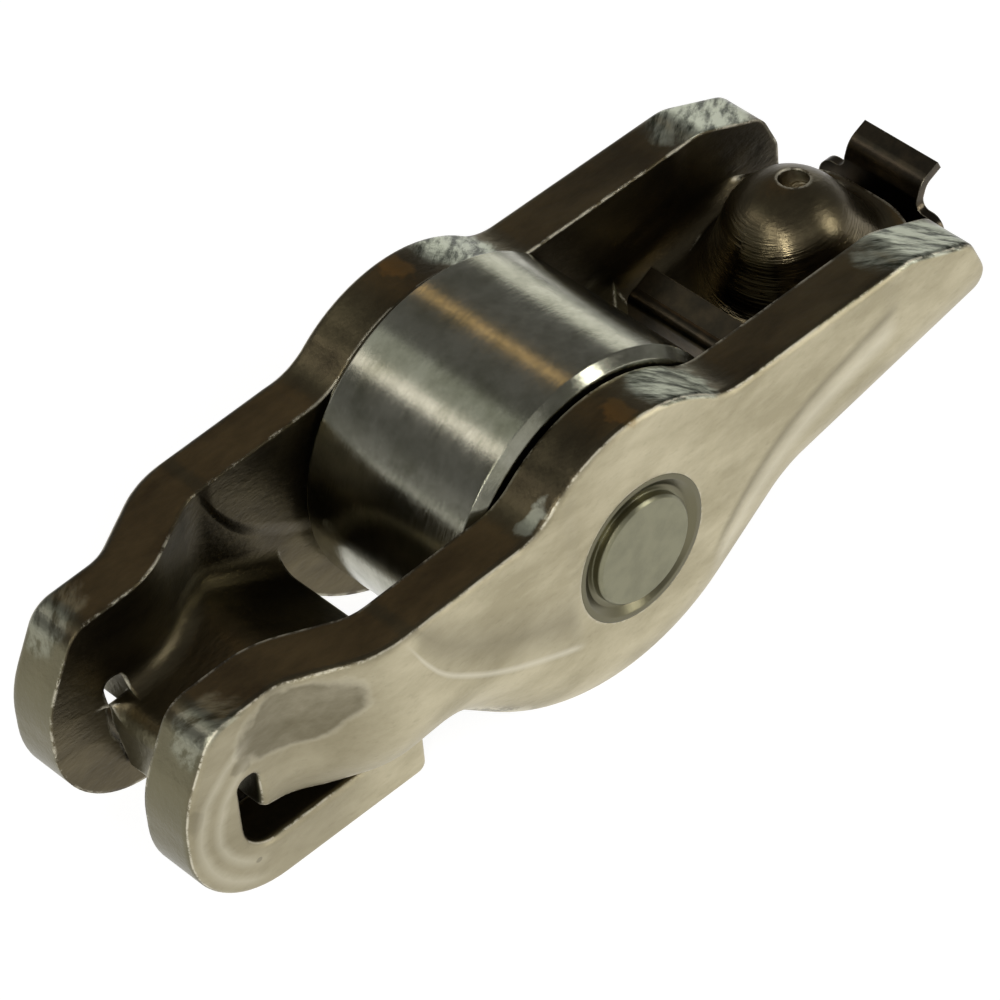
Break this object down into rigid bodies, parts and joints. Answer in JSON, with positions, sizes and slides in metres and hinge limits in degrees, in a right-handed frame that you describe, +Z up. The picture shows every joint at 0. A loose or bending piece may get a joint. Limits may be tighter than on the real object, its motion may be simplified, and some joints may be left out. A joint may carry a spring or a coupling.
{
  "type": "roller rocker arm",
  "caption": "Stamped steel finger rocker arm with a needle-bearing cam roller, a ball socket and clip at one end and a guided valve pad at the other.",
  "frame": {"origin": "middle of the roller axis", "axes": "+Z up as the arm lies, +X from the valve end to the socket end, +Y along the roller axis"},
  "size_m": [0.0537, 0.0178, 0.0187],
  "materials": {
    "stamped_steel": "case-hardened and tempered, dull brown-grey oxide, light tumbled sides",
    "ground_steel": "ground",
    "roller_steel": "fine ground",
    "black_steel": "black oxide spring steel"
  },
  "bodies": {
    "arm": {"arm_body": "stamped_steel", "axle_pin": "ground_steel", "retaining_clip": "black_steel"},
    "roller": {"roller_ring": "roller_steel"},
    "needle_set": {"needle_01": "ground_steel", "needle_02": "ground_steel", "needle_03": "ground_steel", "needle_04": "ground_steel", "needle_05": "ground_steel", "needle_06": "ground_steel", "needle_07": "ground_steel", "needle_08": "ground_steel", "needle_09": "ground_steel", "needle_10": "ground_steel", "needle_11": "ground_steel", "needle_12": "ground_steel", "needle_13": "ground_steel", "needle_14": "ground_steel", "needle_15": "ground_steel", "needle_16": "ground_steel"}
  },
  "joints": [
    {"name": "roller_spin", "type": "hinge", "parent": "arm", "child": "roller", "pos_m": [0, 0, 0], "axis": [0, 1, 0], "continuous": true},
    {"name": "needle_orbit", "type": "hinge", "parent": "arm", "child": "needle_set", "pos_m": [0, 0, 0], "axis": [0, 1, 0], "continuous": true}
  ],
  "couplings": [
    {"joint": "needle_orbit", "follows": "roller_spin", "ratio": 0.5963}
  ]
}
